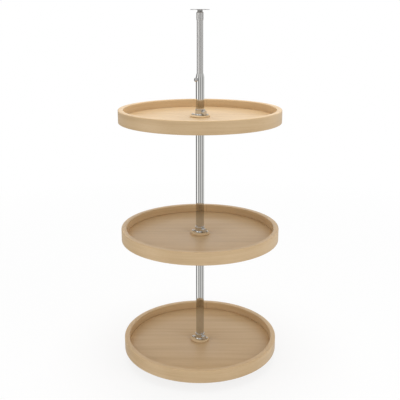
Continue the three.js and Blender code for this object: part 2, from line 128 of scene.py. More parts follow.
# the boards' brightness round the unit, from behind (0) by the left and the front (0.5) to the right
boards = ramp(
    sky,
    rescaled(sky, bearing, -pi, pi),
    [
        (0.00, 0.76),
        (0.10, 0.44),
        (0.19, 0.20),
        (0.247, 0.28),
        (0.27, 1.65),
        (0.34, 1.65),
        (0.362, 0.30),
        (0.415, 0.28),
        (0.45, 1.05),
        (0.485, 0.98),
        (0.52, 0.40),
        (0.56, 0.44),
        (0.60, 1.02),
        (0.635, 0.98),
        (0.68, 0.46),
        (0.73, 0.44),
        (0.79, 0.95),
        (0.86, 0.85),
        (0.93, 0.61),
        (1.00, 0.76),
    ],
)
board_tops = blended(sky, 0.5, boards, grey(0.72))
all_boards = blended(sky, rescaled(sky, upwards, 0.14, 0.26), boards, board_tops)
backwards = rescaled(sky, calculated(sky, "ABSOLUTE", bearing), 2.1, 2.6)
backdrop = calculated(sky, "MULTIPLY", backwards, rescaled(sky, upwards, 0.0, 0.1))
with_backdrop = blended(sky, backdrop, all_boards, grey(1))
ceiling_glow = blended(sky, 0.6, boards, grey(0.95))
seen_in_gloss = blended(sky, rescaled(sky, upwards, 0.45, 0.62), with_backdrop, ceiling_glow)

# metal sees the boards, the camera white, and the light that falls on the unit is a soft grey fill
fill = ramp(sky, upwards, [(0.0, 0.55), (0.9, 0.79)])
ray = add(sky, "ShaderNodeLightPath")
for_rays = blended(sky, ray.outputs["Is Glossy Ray"], fill, seen_in_gloss)
for_all = blended(sky, ray.outputs["Is Camera Ray"], for_rays, grey(1))
background = add(sky, "ShaderNodeBackground", {"Color": for_all, "Strength": 1.0})
add(sky, "ShaderNodeOutputWorld", {"Surface": background.outputs[0]})


def lamp(name, place, target, size, watts):
    """A square soft lamp that faces a point and isn't mirrored in metal."""
    data = bpy.data.lights.new(name, "AREA")
    data.size = size
    data.energy = watts
    made = bpy.data.objects.new(name, data)
    made.location = place
    made.rotation_euler = (Vector(target) - Vector(place)).to_track_quat("-Z", "Y").to_euler()
    made.visible_glossy = False
    bpy.context.scene.collection.objects.link(made)


lamp("lamp_overhead", place=(0, 0, 3.6), target=(0, 0, 0.9), size=1.2, watts=46.0)
lamp("lamp_left", place=(-2.6, -1.8, 1.1), target=(0, 0, 0.6), size=1.8, watts=11.0)
lamp("lamp_right", place=(2.6, -1.8, 1.7), target=(0, 0, 0.6), size=1.8, watts=17.0)

sweep_reach = 30
sweep_corners = [(-1, -1), (1, -1), (1, 1), (-1, 1)]
sweep_mesh = bpy.data.meshes.new("sweep")
sweep_mesh.from_pydata([(x * sweep_reach, y * sweep_reach, 0) for x, y in sweep_corners], [], [range(4)])
sweep = bpy.data.objects.new("sweep", sweep_mesh)
bpy.context.scene.collection.objects.link(sweep)
sweep.visible_glossy = False

# matt paper that keeps the unit's soft shadow, burnt out to white away from it
sweep_paper = bpy.data.materials.new("sweep_paper")
sweep_paper.use_nodes = True
paper = sweep_paper.node_tree
paper.nodes.clear()
matt = add(paper, "ShaderNodeBsdfDiffuse", {"Color": grey(0.86)})
white = add(paper, "ShaderNodeEmission", {"Color": grey(1), "Strength": 1.0})
floor_place = add(paper, "ShaderNodeTexCoord").outputs["Object"]
from_middle = add(paper, "ShaderNodeVectorMath", {0: floor_place}, operation="LENGTH").outputs["Value"]
burnt_out = rescaled(paper, from_middle, 0.5, 3.0, 0.82, 1.0)
seen_directly = add(paper, "ShaderNodeLightPath").outputs["Is Camera Ray"]
white_share = calculated(paper, "MULTIPLY", seen_directly, burnt_out)
paper_look = add(
    paper, "ShaderNodeMixShader", {0: white_share, 1: matt.outputs[0], 2: white.outputs[0]}
)
add(paper, "ShaderNodeOutputMaterial", {"Surface": paper_look.outputs[0]})
sweep_mesh.materials.append(sweep_paper)


# ---- Floor plate -------------------------------------------------------------------------------------
# A disc pressed from 2.5 mm steel and zinc plated, screwed to the cabinet's floor through four sunk
# holes. Its raised middle leaves room underneath for the pin's riveted end.

plate_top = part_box("floor_plate")[1].z * 1000
plate_sheet = 2.5
plate_radius = 46
pin_neck = 4
gap = 0.3  # between pieces that touch or slide on each other


def rounded(corners, steps):
    """An outline through corners (x, y, rounding), in which each rounded corner becomes an arc."""
    points = []
    for i, corner in enumerate(corners):
        here = Vector(corner[:2])
        if len(corner) < 3:
            points.append(here)
            continue
        rounding = corner[2]
        to_last = (Vector(corners[i - 1][:2]) - here).normalized()
        to_next = (Vector(corners[(i + 1) % len(corners)][:2]) - here).normalized()
        half = acos(max(-1.0, min(1.0, to_last.dot(to_next)))) / 2
        centre = here + (to_last + to_next).normalized() * (rounding / sin(half))
        start = here + to_last * (rounding / tan(half)) - centre
        end = here + to_next * (rounding / tan(half)) - centre
        first = atan2(start.y, start.x)
        arc = atan2(start.x * end.y - start.y * end.x, start.dot(end))
        for step in range(steps + 1):
            angle = first + arc * step / steps
            points.append(centre + Vector((cos(angle), sin(angle))) * rounding)
    return points


def outward(piece, crease):
    """Joins double corners, turns all faces outwards and creases the steep edges."""
    shell = bmesh.new()
    shell.from_mesh(piece.data)
    bmesh.ops.remove_doubles(shell, verts=shell.verts, dist=1e-7)
    bmesh.ops.recalc_face_normals(shell, faces=shell.faces)
    shell.to_mesh(piece.data)
    shell.free()
    piece.data.shade_smooth()
    piece.data.set_sharp_from_angle(angle=radians(crease))


def new_piece(name, points, faces, crease=32):
    """A smooth piece from points in millimetres, sharp where faces meet at more than the crease."""
    mesh = bpy.data.meshes.new(name)
    mesh.from_pydata([Vector(point) / 1000 for point in points], [], faces)
    piece = bpy.data.objects.new(name, mesh)
    bpy.context.scene.collection.objects.link(piece)
    outward(piece, crease)
    return piece


def turned(name, corners, sides, lift=0.0, steps=5, crease=32):
    """A piece turned about the Z axis from corners (radius, height, rounding)."""
    points, rings, faces = [], [], []
    for point in rounded(corners, steps):
        if abs(point.x) < 1e-9:
            rings.append([len(points)] * sides)
            points.append((0, 0, point.y + lift))
            continue
        rings.append([len(points) + k for k in range(sides)])
        for k in range(sides):
            angle = 2 * pi * k / sides
            points.append((point.x * cos(angle), point.x * sin(angle), point.y + lift))
    for i, ring in enumerate(rings):
        after = rings[(i + 1) % len(rings)]
        if ring[0] == ring[1] and after[0] == after[1]:
            continue
        for k in range(sides):
            next_k = (k + 1) % sides
            faces.append(list(dict.fromkeys([ring[k], ring[next_k], after[next_k], after[k]])))
    return new_piece(name, points, faces, crease)


def worked(piece, tools, operation="DIFFERENCE", crease=32):
    """Cuts tools from a piece, or welds them on, and takes the tools away."""
    for tool in tools:
        step = piece.modifiers.new("step", "BOOLEAN")
        step.solver = "EXACT"
        step.operation = operation
        step.object = tool
    bpy.context.view_layer.update()
    shaped = piece.evaluated_get(bpy.context.evaluated_depsgraph_get())
    piece.data = bpy.data.meshes.new_from_object(shaped)
    piece.modifiers.clear()
    for tool in tools:
        bpy.data.objects.remove(tool)
    outward(piece, crease)
    return piece


def moved(piece, matrix):
    """Moves a piece's mesh. The matrix has millimetres in its last column."""
    in_metres = matrix.copy()
    in_metres.translation /= 1000
    piece.data.transform(in_metres)
    return piece


def sunk_holes(circle, face, sink, from_below=False):
    """Tools for four 4.5 mm screw holes on a circle, sunk from a face to 9 mm across."""
    tools = []
    for k in range(4):
        tool = turned("tool", [(0, -9), (2.25, -9), (2.25, -sink), (4.5, 0), (4.5, 3), (0, 3)], 40)
        if from_below:
            moved(tool, Matrix.Rotation(pi, 4, "X"))
        angle = radians(45 + 90 * k)
        tools.append(moved(tool, Matrix.Translation((circle * cos(angle), circle * sin(angle), face))))
    return tools


floor_plate = turned(
    "floor_plate_pressing",
    [
        (pin_neck + gap, plate_top, 0.3),
        (pin_neck + gap, plate_top - plate_sheet, 0.3),
        (14.5, plate_top - plate_sheet, 1.2),
        (20, 0, 1.2),
        (plate_radius, 0, 0.4),
        (plate_radius, plate_sheet, 1),
        (21, plate_sheet, 1.8),
        (15.5, plate_top, 1.8),
    ],
    128,
)
worked(floor_plate, sunk_holes(34, plate_sheet, sink=2.0))


def new_material(name, **sockets):
    """A material and its node tree. The plain values are set on its shader by socket name."""
    material = bpy.data.materials.new(name)
    material.use_nodes = True
    shader = material.node_tree.nodes["Principled BSDF"]
    for socket, value in sockets.items():
        shader.inputs[socket.replace("_", " ")].default_value = value
    return material, material.node_tree


def place_in(tree, stretch=(1, 1, 1)):
    """The place on the piece, in metres, stretched by a factor along each axis."""
    place = add(tree, "ShaderNodeTexCoord").outputs["Object"]
    return add(tree, "ShaderNodeMapping", {"Vector": place, "Scale": stretch}).outputs[0]


def noise(tree, place, scale, detail=2.0, roughness=0.5):
    """Soft random grey between 0 and 1, with scale spots to the metre."""
    sockets = {"Vector": place, "Scale": scale, "Detail": detail, "Roughness": roughness}
    return add(tree, "ShaderNodeTexNoise", sockets).outputs["Fac"]


def finished(material, colour, roughness, relief, strength, depth):
    """Gives a material its colour, its roughness and a fine relief, with the depth in metres."""
    tree = material.node_tree
    shader = tree.nodes["Principled BSDF"]
    bump = add(tree, "ShaderNodeBump", {"Height": relief, "Strength": strength, "Distance": depth})
    tree.links.new(colour, shader.inputs["Base Color"])
    tree.links.new(roughness, shader.inputs["Roughness"])
    tree.links.new(bump.outputs[0], shader.inputs["Normal"])


def dressed(piece, material):
    piece.data.materials.clear()
    piece.data.materials.append(material)


# zinc plate: a bluish grey with cloudy crystals, a little duller where it has been handled
zinc, tree = new_material("zinc_plate", Metallic=1.0)
crystals = add(tree, "ShaderNodeTexVoronoi", {"Vector": place_in(tree), "Scale": 420.0})
clouds = noise(tree, place_in(tree), 55.0, detail=4.0)
mottle = blended(tree, 0.3, clouds, crystals.outputs["Color"])
finished(
    zinc,
    colour=ramp(tree, mottle, [(0.3, (0.50, 0.51, 0.525)), (0.7, (0.58, 0.59, 0.60))]),
    roughness=rescaled(tree, clouds, 0.3, 0.7, 0.27, 0.42),
    relief=noise(tree, place_in(tree), 900.0),
    strength=0.05,
    depth=0.0002,
)

dressed(floor_plate, zinc)
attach(floor_plate, "floor_bracket")
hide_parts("floor_plate")


# ---- Pivot pin ---------------------------------------------------------------------------------------
# A turned steel pin, zinc plated and riveted into the floor plate from above. The whole unit stands and
# turns on it.

pin_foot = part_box("pivot_pin")[0].z * 1000
pin_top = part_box("pivot_pin")[1].z * 1000
pin_radius = 6
rivet_radius, rivet_height = 6.5, 2.8
pivot_pin = turned(
    "pivot_pin_turned",
    [
        (0, pin_top),
        (0, pin_foot),
        (rivet_radius, pin_foot, 1.4),
        (rivet_radius, pin_foot + rivet_height, 0.2),
        (pin_neck, pin_foot + rivet_height),
        (pin_neck, plate_top + gap),
        (pin_radius, plate_top + gap, 0.2),
        (pin_radius, pin_top, 2),
    ],
    64,
)
dressed(pivot_pin, zinc)
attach(pivot_pin, "floor_bracket")
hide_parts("pivot_pin")


# ---- Thrust washer and foot bushing ------------------------------------------------------------------
# Moulded in white bearing plastic: the washer lies on the floor plate's raised middle, and the flanged
# bushing is pressed into the post's lower end and turns on the pin and the washer.

washer_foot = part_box("thrust_washer")[0].z * 1000
washer_radius, washer_height = 14, 3
thrust_washer = turned(
    "thrust_washer_ring",
    [
        (pin_radius + gap, washer_foot, 0.4),
        (washer_radius, washer_foot, 0.5),
        (washer_radius, washer_foot + washer_height, 0.5),
        (pin_radius + gap, washer_foot + washer_height, 0.4),
    ],
    72,
)

bushing_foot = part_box("foot_bushing")[0].z * 1000
bushing_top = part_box("foot_bushing")[1].z * 1000
bushing_flange = 3
post_radius, post_inside = 15.875, 14.375
foot_bushing = turned(
    "foot_bushing_flanged",
    [
        (pin_radius + gap, bushing_foot, 0.5),
        (post_radius, bushing_foot, 0.9),
        (post_radius, bushing_foot + bushing_flange, 0.3),
        (post_inside - gap, bushing_foot + bushing_flange),
        (post_inside - gap, bushing_top, 1.2),
        (pin_radius + gap, bushing_top, 0.5),
    ],
    96,
)

# bearing plastic: off-white and slightly waxy, with a fine moulded texture
plastic, tree = new_material("bearing_plastic", Specular_IOR_Level=0.45)
tone = noise(tree, place_in(tree), 90.0, detail=3.0)
finished(
    plastic,
    colour=ramp(tree, tone, [(0.35, (0.74, 0.73, 0.69)), (0.65, (0.80, 0.79, 0.755))]),
    roughness=rescaled(tree, tone, 0.3, 0.7, 0.42, 0.56),
    relief=noise(tree, place_in(tree), 1600.0),
    strength=0.15,
    depth=0.0001,
)

dressed(thrust_washer, plastic)
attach(thrust_washer, "floor_bracket")
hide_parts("thrust_washer")
dressed(foot_bushing, plastic)
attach(foot_bushing, "post")
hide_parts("foot_bushing")


# ---- Lower post --------------------------------------------------------------------------------------
# A steel tube of 31.75 mm with a 1.5 mm wall, polished and chrome plated. Its upper end is drawn in to
# a neck that guides the thinner post, and a hole just below takes the lock screw's insert.

post_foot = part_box("lower_post")[0].z * 1000
post_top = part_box("lower_post")[1].z * 1000
mast_radius, mast_inside = 11.9, 10.4
neck_radius = 13.2
lower_post = turned(
    "lower_post_tube",
    [
        (post_inside, post_foot, 0.3),
        (post_radius, post_foot, 0.5),
        (post_radius, post_top - 13, 5),
        (neck_radius, post_top, 0.5),
        (mast_radius + gap, post_top, 0.2),
        (mast_radius + gap, post_top - 2, 0.5),
        (post_inside, post_top - 14.5, 2),
    ],
    128,
    steps=8,
)


def pointing(piece, bearing, level):
    """Lays a piece that was made along +Z level, towards a bearing, at a height."""
    lying = Matrix.Rotation(bearing, 4, "Z") @ Matrix.Rotation(pi / 2, 4, "Y")
    return moved(piece, Matrix.Translation((0, 0, level)) @ lying)


lock_bearing = radians(215)
lock_height = post_top - 22.2
lock_hole_radius = 5.5
lock_hole = turned("tool", [(0, 0), (lock_hole_radius, 0), (lock_hole_radius, 30), (0, 30)], 48)
worked(lower_post, [pointing(lock_hole, lock_bearing, lock_height)], crease=24)

# chrome: a bright mirror, with faint long draw marks under the plate and a trace of handling
chrome, tree = new_material("chrome_plate", Metallic=1.0)
smudges = noise(tree, place_in(tree), 28.0, detail=5.0)
finished(
    chrome,
    colour=ramp(tree, smudges, [(0.3, (0.585, 0.58, 0.565)), (0.7, (0.625, 0.62, 0.60))]),
    roughness=rescaled(tree, smudges, 0.35, 0.75, 0.03, 0.07),
    relief=noise(tree, place_in(tree, (1, 1, 0.0015)), 1400.0),
    strength=0.02,
    depth=0.00005,
)

dressed(lower_post, chrome)
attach(lower_post, "post")
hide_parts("lower_post")


# ---- Lock insert -------------------------------------------------------------------------------------
# A flanged threaded insert of zinc-plated steel, squeezed into the hole in the tube's wall. Its flange
# is hollowed to the tube's round.

lock_screw_radius = 4
flange_radius, flange_root, flange_face = 7, 13.9, post_radius + 1.5
sleeve_radius, sleeve_end, sleeve_root = lock_hole_radius - gap, post_inside - 1.5, 16.9
bore_radius, chamfer_radius = lock_screw_radius + gap, 5
insert_flange = turned(
    "insert",
    [(0, flange_root), (flange_radius, flange_root), (flange_radius, flange_face, 0.5), (0, flange_face)],
    72,
)
insert_sleeve = turned(
    "tool",
    [(0, sleeve_end), (sleeve_radius, sleeve_end, 0.3), (sleeve_radius, sleeve_root), (0, sleeve_root)],
    48,
)
insert_bore = turned(
    "tool",
    [(0, 0), (bore_radius, 0), (bore_radius, 16.7), (chamfer_radius, 17.4), (chamfer_radius, 20), (0, 20)],
    48,
)
tube_round = turned("tool", [(0, -40), (post_radius + gap, -40), (post_radius + gap, 40), (0, 40)], 128)
for shape in (insert_flange, insert_sleeve, insert_bore):
    pointing(shape, lock_bearing, 0)
worked(insert_flange, [tube_round])
worked(insert_flange, [insert_sleeve], "UNION")
lock_insert = worked(insert_flange, [insert_bore])
lock_insert.name = "lock_insert_flanged"
moved(lock_insert, Matrix.Translation((0, 0, lock_height)))
dressed(lock_insert, zinc)
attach(lock_insert, "post")
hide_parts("lock_insert")


# ---- Lock screw --------------------------------------------------------------------------------------
# A bright-plated hexagon screw of 8 mm, turned with a spanner in the insert. Its tip presses on the
# thinner post and holds it at its height.


def threaded(radius, depth, pitch, foot, top):
    """Corners (radius, height) up a threaded stretch, ridge by ridge."""
    corners = []
    level = foot
    while level + pitch <= top:
        corners += [(radius - depth, level), (radius, level + pitch / 2)]
        level += pitch
    return corners + [(radius - depth, level)]


def hexagon_block(name, across, foot, top):
    """A hexagon block along +Z, by its width across the flats."""
    to_corner = across / 2 / cos(pi / 6)
    hexagon = [(to_corner * cos(pi / 3 * k), to_corner * sin(pi / 3 * k)) for k in range(6)]
    points = [(x, y, z) for z in (foot, top) for x, y in hexagon]
    walls = [(k, (k + 1) % 6, 6 + (k + 1) % 6, 6 + k) for k in range(6)]
    return new_piece(name, points, [tuple(range(5, -1, -1)), *walls, tuple(range(6, 12))])


def hexagon_screw(name, diameter, pitch, shank, across, head):
    """A hexagon screw along +Z: its tip at 0, its head's underside at the shank's length."""
    radius, to_flat, to_corner = diameter / 2, across / 2, across / 2 / cos(pi / 6)
    washer_face = 0.4
    screw = hexagon_block(name, across, shank + washer_face, shank + head)
    crown = turned(
        "tool",
        [
            (0, shank - 1),
            (to_corner + 1, shank - 1),
            (to_corner + 1, shank + head - (to_corner - to_flat + 2) * 0.5),
            (to_flat - 1, shank + head, 0.4),
            (0, shank + head),
        ],
        96,
    )
    worked(screw, [crown], "INTERSECT")
    face = turned(
        "tool",
        [(0, shank), (to_flat - 0.4, shank, 0.2), (to_flat - 0.4, shank + 1), (0, shank + 1)],
        64,
    )
    stem = turned(
        "tool",
        [
            (0, 0),
            (radius - pitch * 0.8, 0),
            *threaded(radius, pitch * 0.55, pitch, pitch * 0.3, shank - 0.4),
            (radius - pitch * 0.55, shank + 0.6),
            (0, shank + 0.6),
        ],
        48,
    )
    return worked(screw, [face, stem], "UNION")


lock_screw = hexagon_screw(
    "lock_screw_hexagon", lock_screw_radius * 2, pitch=1.25, shank=5.475, across=13, head=5.3
)
moved(lock_screw, Matrix.Translation((0, 0, mast_radius + gap)))
pointing(lock_screw, lock_bearing, lock_height)

# bright plate: the plating on machined screws, nearly a mirror but a little milky
bright_plate, tree = new_material("bright_plate", Metallic=0.8)
haze = noise(tree, place_in(tree), 130.0, detail=4.0)
finished(
    bright_plate,
    colour=ramp(tree, haze, [(0.3, (0.60, 0.60, 0.595)), (0.7, (0.69, 0.69, 0.68))]),
    roughness=rescaled(tree, haze, 0.3, 0.7, 0.10, 0.18),
    relief=noise(tree, place_in(tree, (1, 1, 0.1)), 2400.0),
    strength=0.05,
    depth=0.00005,
)

dressed(lock_screw, bright_plate)
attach(lock_screw, "lock_bolt")
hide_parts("lock_screw")


# ---- Upper post --------------------------------------------------------------------------------------
# A thinner steel tube with a satin plate, which slides out of the lower post and is held by the lock
# screw.

mast_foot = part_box("upper_post")[0].z * 1000
mast_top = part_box("upper_post")[1].z * 1000
upper_post = turned(
    "upper_post_tube",
    [
        (mast_inside, mast_foot, 0.3),
        (mast_radius, mast_foot, 0.5),
        (mast_radius, mast_top, 0.5),
        (mast_inside, mast_top, 0.3),
    ],
    112,
)

# satin plate: brushed along the tube, so the streaks run lengthwise
satin, tree = new_material("satin_plate", Metallic=1.0)
streaks = noise(tree, place_in(tree, (1, 1, 0.002)), 1300.0)
patches = noise(tree, place_in(tree), 22.0, detail=3.0)
finished(
    satin,
    colour=ramp(tree, streaks, [(0.3, (0.56, 0.55, 0.535)), (0.7, (0.60, 0.59, 0.575))]),
    roughness=rescaled(tree, patches, 0.3, 0.7, 0.2, 0.28),
    relief=streaks,
    strength=0.012,
    depth=0.00005,
)

dressed(upper_post, satin)
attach(upper_post, "mast")
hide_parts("upper_post")


# ---- Guide sleeve ------------------------------------------------------------------------------------
# A sleeve of bearing plastic pushed over the thinner post's lower end, with a rim under the tube's end.
# It keeps that post central in the wider one.

sleeve_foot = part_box("guide_sleeve")[0].z * 1000
sleeve_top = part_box("guide_sleeve")[1].z * 1000
guide_sleeve = turned(
    "guide_sleeve_moulded",
    [
        (mast_inside, sleeve_foot, 0.4),
        (post_inside - gap, sleeve_foot, 0.9),
        (post_inside - gap, sleeve_top, 0.9),
        (mast_radius + gap, sleeve_top, 0.3),
        (mast_radius + gap, mast_foot - gap, 0.1),
        (mast_inside, mast_foot - gap, 0.4),
    ],
    96,
)
dressed(guide_sleeve, plastic)
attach(guide_sleeve, "mast")
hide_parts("guide_sleeve")


# ---- Head cup ----------------------------------------------------------------------------------------
# A cup drawn from sheet, with the same satin plate, pressed over the thinner post's upper end. Its skirt
# narrows down to the tube, and its upper edge is turned in over the bushing's flange.

cup_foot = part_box("head_cup")[0].z * 1000
cup_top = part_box("head_cup")[1].z * 1000
cup_radius = 13.2
bush_neck_radius = 9.5
head_cup = turned(
    "head_cup_drawn",
    [
        (mast_radius + gap, cup_foot, 0.1),
        (12.6, cup_foot, 0.25),
        (cup_radius, cup_foot + 10, 12),
        (cup_radius, cup_top - 3, 2.4),
        (10.2, cup_top, 0.3),
        (bush_neck_radius + gap, cup_top, 0.1),
        (bush_neck_radius + gap, cup_top - 1, 0.3),
        (mast_radius + gap, cup_top - 3.5, 1),
    ],
    112,
    steps=8,
    crease=40,
)
dressed(head_cup, satin)
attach(head_cup, "mast")
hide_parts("head_cup")


# ---- Top bushing -------------------------------------------------------------------------------------
# A grey bushing in the tube's upper end. The cup holds its flange down on the tube, and its neck stands
# out on top and carries the plate.

bush_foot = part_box("top_bushing")[0].z * 1000
bush_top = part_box("top_bushing")[1].z * 1000
bush_flange_foot = mast_top + gap
top_pin_radius = 5
top_bushing = turned(
    "top_bushing_moulded",
    [
        (top_pin_radius + gap, bush_foot, 0.4),
        (mast_inside - gap, bush_foot, 0.9),
        (mast_inside - gap, bush_flange_foot),
        (mast_radius, bush_flange_foot, 0.4),
        (mast_radius, bush_flange_foot + 3, 0.4),
        (bush_neck_radius, cup_top - 1.6, 0.3),
        (bush_neck_radius, bush_top, 0.9),
        (top_pin_radius + gap, bush_top, 0.4),
    ],
    96,
)

# nylon: a matt grey, a little mottled from moulding
nylon, tree = new_material("grey_nylon_moulded", Specular_IOR_Level=0.5)
speckle = noise(tree, place_in(tree), 700.0, detail=3.0)
finished(
    nylon,
    colour=ramp(tree, speckle, [(0.35, (0.35, 0.355, 0.355)), (0.65, (0.42, 0.425, 0.425))]),
    roughness=rescaled(tree, speckle, 0.3, 0.7, 0.4, 0.55),
    relief=speckle,
    strength=0.12,
    depth=0.0001,
)

dressed(top_bushing, nylon)
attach(top_bushing, "mast")
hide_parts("top_bushing")


# ---- Top plate and its pin ---------------------------------------------------------------------------
# A thin zinc-plated disc screwed up under the cabinet's ceiling through four holes sunk from below, and
# the pin riveted flush into it, on which the post's upper end turns.

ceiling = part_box("top_plate")[1].z * 1000
top_sheet = 2
top_plate_radius = 35
top_pin_neck = 3
top_plate = turned(
    "top_plate_disc",
    [
        (top_pin_neck + gap, ceiling - top_sheet),
        (top_plate_radius, ceiling - top_sheet, 0.6),
        (top_plate_radius, ceiling, 0.6),
        (5, ceiling),
    ],
    128,
)
worked(top_plate, sunk_holes(25, ceiling - top_sheet, sink=1.6, from_below=True))
dressed(top_plate, zinc)
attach(top_plate, "ceiling_bracket")
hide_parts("top_plate")

top_pin_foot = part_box("top_pin")[0].z * 1000
top_pin = turned(
    "top_pin_turned",
    [
        (0, ceiling - 0.1),
        (0, top_pin_foot),
        (top_pin_radius, top_pin_foot, 1.5),
        (top_pin_radius, ceiling - top_sheet - gap, 0.3),
        (top_pin_neck, ceiling - top_sheet - gap),
        (top_pin_neck, ceiling - top_sheet + gap),
        (4.7, ceiling - 0.1, 0.2),
    ],
    56,
)
dressed(top_pin, zinc)
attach(top_pin, "ceiling_bracket")
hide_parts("top_pin")


# ---- Tray rims ---------------------------------------------------------------------------------------
# A band of solid maple, steamed and bent to a hoop and glued in a scarf joint near the back. Its edges
# are rounded, a groove inside holds the board, and all of it has a clear satin lacquer.

tray_names = ("bottom", "middle", "top")
tray_bases = [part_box(f"{name}_tray_rim")[0].z * 1000 for name in tray_names]
rim_radius, rim_inside, rim_height = 304.8, 284.8, 48
groove_radius, groove_foot, groove_top = 292.8, 4, 17.3


def maple_grain(tree, along, across, through, scale=1.0):
    """Maple's colour and its fibres, from the place along the grain and across it, in metres."""
    straight = add(tree, "ShaderNodeCombineXYZ", {0: along, 1: across, 2: through}).outputs[0]
    slow = add(tree, "ShaderNodeMapping", {"Vector": straight, "Scale": (3, 14, 14)}).outputs[0]
    drift = calculated(tree, "MULTIPLY_ADD", noise(tree, slow, 1.0), 0.03, across)
    wavy = add(tree, "ShaderNodeCombineXYZ", {0: along, 1: drift, 2: through}).outputs[0]

    def grain(lengthwise, crosswise, detail):
        stretch = (lengthwise * scale, crosswise * scale, crosswise * scale)
        stretched = add(tree, "ShaderNodeMapping", {"Vector": wavy, "Scale": stretch}).outputs[0]
        return noise(tree, stretched, 1.0, detail, roughness=0.55)

    rings, fibres, flecks = grain(1.6, 46, 2.0), grain(7, 520, 3.0), grain(70, 1500, 1.0)
    tint = add(tree, "ShaderNodeMix", {0: 0.45, 2: rings, 3: fibres}, data_type="FLOAT").outputs[0]
    wood = ramp(
        tree,
        tint,
        [
            (0.34, (0.545, 0.374, 0.196)),
            (0.50, (0.610, 0.430, 0.238)),
            (0.66, (0.650, 0.470, 0.272)),
        ],
    )
    fleck_share = ramp(tree, flecks, [(0.62, 0.0), (0.74, 0.5)])
    return blended(tree, fleck_share, wood, (0.47, 0.305, 0.15, 1)), fibres


def lacquered(material, colour, fibres):
    """Maple under a clear satin lacquer, which sinks a little into the fibres."""
    finished(
        material,
        colour=colour,
        roughness=rescaled(material.node_tree, fibres, 0.3, 0.7, 0.34, 0.44),
        relief=fibres,
        strength=0.10,
        depth=0.0001,
    )


def place_parts(tree):
    """The three parts of the place on the piece, in metres."""
    place = add(tree, "ShaderNodeSeparateXYZ", {0: add(tree, "ShaderNodeTexCoord").outputs["Object"]})
    return [place.outputs[axis] for axis in "XYZ"]


def axis_distance(tree, x, y):
    """How far a place lies from the post's axis."""
    level = add(tree, "ShaderNodeCombineXYZ", {0: x, 1: y}).outputs[0]
    return add(tree, "ShaderNodeVectorMath", {0: level}, operation="LENGTH").outputs["Value"]


# maple bent round the hoop: the grain runs along the band, whose length is measured from its front
maple_band, tree = new_material("maple_band")
hoop_radius, joint_from_back, joint_slope, glue_line = 0.3, 0.06, 3.0, 0.0004
x, y, z = place_parts(tree)
from_axis = axis_distance(tree, x, y)
hoop_angle = calculated(tree, "ARCTAN2", x, calculated(tree, "MULTIPLY", y, -1.0))
hoop_length = calculated(tree, "MULTIPLY", hoop_angle, hoop_radius)
band_wood, band_fibres = maple_grain(tree, hoop_length, z, from_axis)
joint_slant = calculated(tree, "MULTIPLY_ADD", from_axis, joint_slope, hoop_length)
joint_place = hoop_radius * pi - joint_from_back + joint_slope * (rim_radius + rim_inside) / 2000
joint_line = calculated(tree, "COMPARE", joint_slant, joint_place, glue_line)
lacquered(maple_band, blended(tree, joint_line, band_wood, (0.33, 0.2, 0.1, 1)), band_fibres)

for name, base in zip(tray_names, tray_bases):
    rim = turned(
        f"{name}_rim_band",
        [
            (rim_inside, 0, 1),
            (rim_radius, 0, 1.6),
            (rim_radius, rim_height, 3.5),
            (rim_inside, rim_height, 3.5),
            (rim_inside, groove_top, 0.3),
            (groove_radius, groove_top),
            (groove_radius, groove_foot),
            (rim_inside, groove_foot, 0.3),
        ],
        240,
        lift=base,
        steps=7,
    )
    dressed(rim, maple_band)
    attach(rim, f"{name}_tray")
    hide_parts(f"{name}_tray_rim")


# ---- Tray boards -------------------------------------------------------------------------------------
# A flat maple-faced board of 12.7 mm, let into the rim's groove and lacquered. A round hole in its
# middle takes the hub's tube, and two small ones the screws of the hub's disc.

board_radius, board_foot, board_top = groove_radius - gap, groove_foot + gap, groove_top - gap
collar_radius = 17.775
hub_hole = collar_radius + gap
disc_screw_radius, disc_screw_circle = 3, 27
disc_screw_bearings = (radians(165), radians(345))


def at_disc_screw(bearing, level):
    """The place of a disc screw's axis, at a height."""
    return Matrix.Translation((disc_screw_circle * cos(bearing), disc_screw_circle * sin(bearing), level))


def screw_drills(foot, top):
    """Tools for the two holes of the disc's screws."""
    radius = disc_screw_radius + gap
    drills = []
    for bearing in disc_screw_bearings:
        drill = turned("tool", [(0, foot), (radius, foot), (radius, top), (0, top)], 32)
        drills.append(moved(drill, at_disc_screw(bearing, 0)))
    return drills


# maple face: the grain runs straight across the board, from left to right
maple_board, tree = new_material("maple_board")
x, y, z = place_parts(tree)
board_wood, board_fibres = maple_grain(tree, x, y, z, scale=0.8)
lacquered(maple_board, board_wood, board_fibres)

for name, base in zip(tray_names, tray_bases):
    board = turned(
        f"{name}_board_round",
        [
            (hub_hole, board_foot, 0.2),
            (board_radius, board_foot, 0.5),
            (board_radius, board_top, 0.5),
            (hub_hole, board_top, 0.2),
        ],
        240,
        lift=base,
        steps=2,
    )
    worked(board, screw_drills(base - 5, base + 30))
    dressed(board, maple_board)
    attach(board, f"{name}_tray")
    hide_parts(f"{name}_tray_floor")


# ---- Hub discs ---------------------------------------------------------------------------------------
# A turned disc of a slightly darker wood with a rounded edge, screwed down on each board. The hub's
# flared foot stands on it.

disc_radius, disc_foot, disc_top = 37, board_top + gap, 23.3

# tan wood: a short straight grain, and fine rings from the lathe
tan_wood, tree = new_material("tan_disc_wood")
x, y, z = place_parts(tree)
lathe_place = add(tree, "ShaderNodeCombineXYZ", {0: axis_distance(tree, x, y), 1: z}).outputs[0]
disc_grain = noise(tree, place_in(tree, (14, 420, 420)), 1.0, detail=3.0)
finished(
    tan_wood,
    colour=ramp(
        tree,
        disc_grain,
        [(0.32, (0.60, 0.425, 0.235)), (0.5, (0.66, 0.485, 0.28)), (0.68, (0.70, 0.525, 0.315))],
    ),
    roughness=rescaled(tree, disc_grain, 0.3, 0.7, 0.44, 0.55),
    relief=noise(tree, lathe_place, 1900.0),
    strength=0.12,
    depth=0.0001,
)

